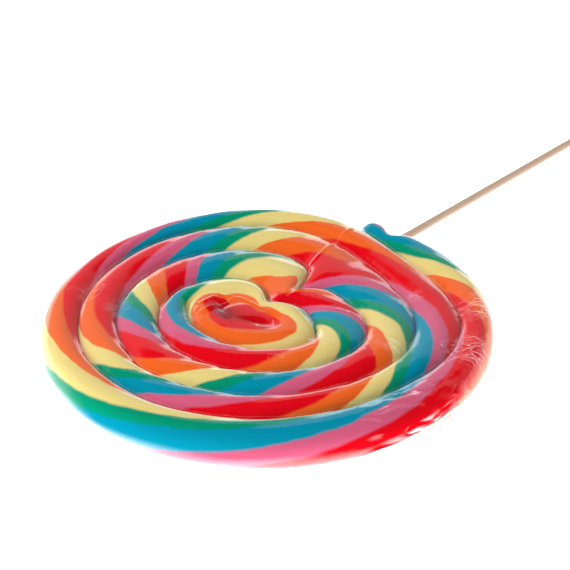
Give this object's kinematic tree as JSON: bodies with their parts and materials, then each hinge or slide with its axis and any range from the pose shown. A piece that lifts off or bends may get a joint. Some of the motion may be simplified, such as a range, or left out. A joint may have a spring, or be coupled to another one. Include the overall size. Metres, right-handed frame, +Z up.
{
  "type": "swirl lollipop",
  "caption": "Large flat lollipop: a twisted rope of hard candy in six bright colours, coiled in a spiral round a small pit, on a thin wooden stick, in tight clear film.",
  "frame": {"origin": "middle of the candy disc's flat underside", "axes": "+Z up through the disc, +X along the stick away from the candy, +Y to the left of the stick seen from above"},
  "size_m": [0.3382, 0.1483, 0.0135],
  "materials": {
    "candy": "boiled sugar in six twisted colours, glossy under clear film",
    "wood": "plain pale wood, dull",
    "film": "thin clear glossy film with fine creases"
  },
  "bodies": {
    "root": {"candy": "candy", "stick": "wood"}
  },
  "joints": []
}
